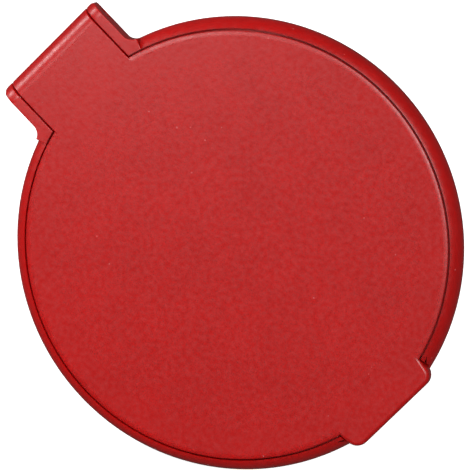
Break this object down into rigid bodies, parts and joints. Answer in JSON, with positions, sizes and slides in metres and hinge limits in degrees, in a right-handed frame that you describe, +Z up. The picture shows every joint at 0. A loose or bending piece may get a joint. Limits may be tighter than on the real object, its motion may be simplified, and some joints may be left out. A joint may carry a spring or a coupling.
{
  "type": "folding pocket mirror",
  "caption": "Slim round compact that folds flat on a tongue-and-ear hinge, with a thumb tab opposite and a mirror in each half.",
  "frame": {"origin": "centre of the round case on its flat underside", "axes": "+Z up through the closed case, +Y towards the hinge, -Y towards the thumb tab, X along the hinge's axis"},
  "size_m": [0.0624, 0.0693, 0.005],
  "materials": {
    "case_plastic": "satin red moulded plastic with a fine mould grain",
    "mirror_glass": "silvered glass with a thin polished edge",
    "mirror_tape": "off-white double-sided foam tape",
    "pin_steel": "plain drawn steel wire"
  },
  "bodies": {
    "base": {"base_shell": "case_plastic", "base_mirror": "mirror_glass", "base_mirror_tape": "mirror_tape", "hinge_pin_left": "pin_steel", "hinge_pin_right": "pin_steel"},
    "lid": {"lid_shell": "case_plastic", "lid_mirror": "mirror_glass", "lid_mirror_tape": "mirror_tape"}
  },
  "joints": [
    {"name": "lid_hinge", "type": "hinge", "parent": "base", "child": "lid", "pos_m": [0, 0.03525, 0.00255], "axis": [-1, 0, 0], "range_deg": [0, 180]}
  ]
}
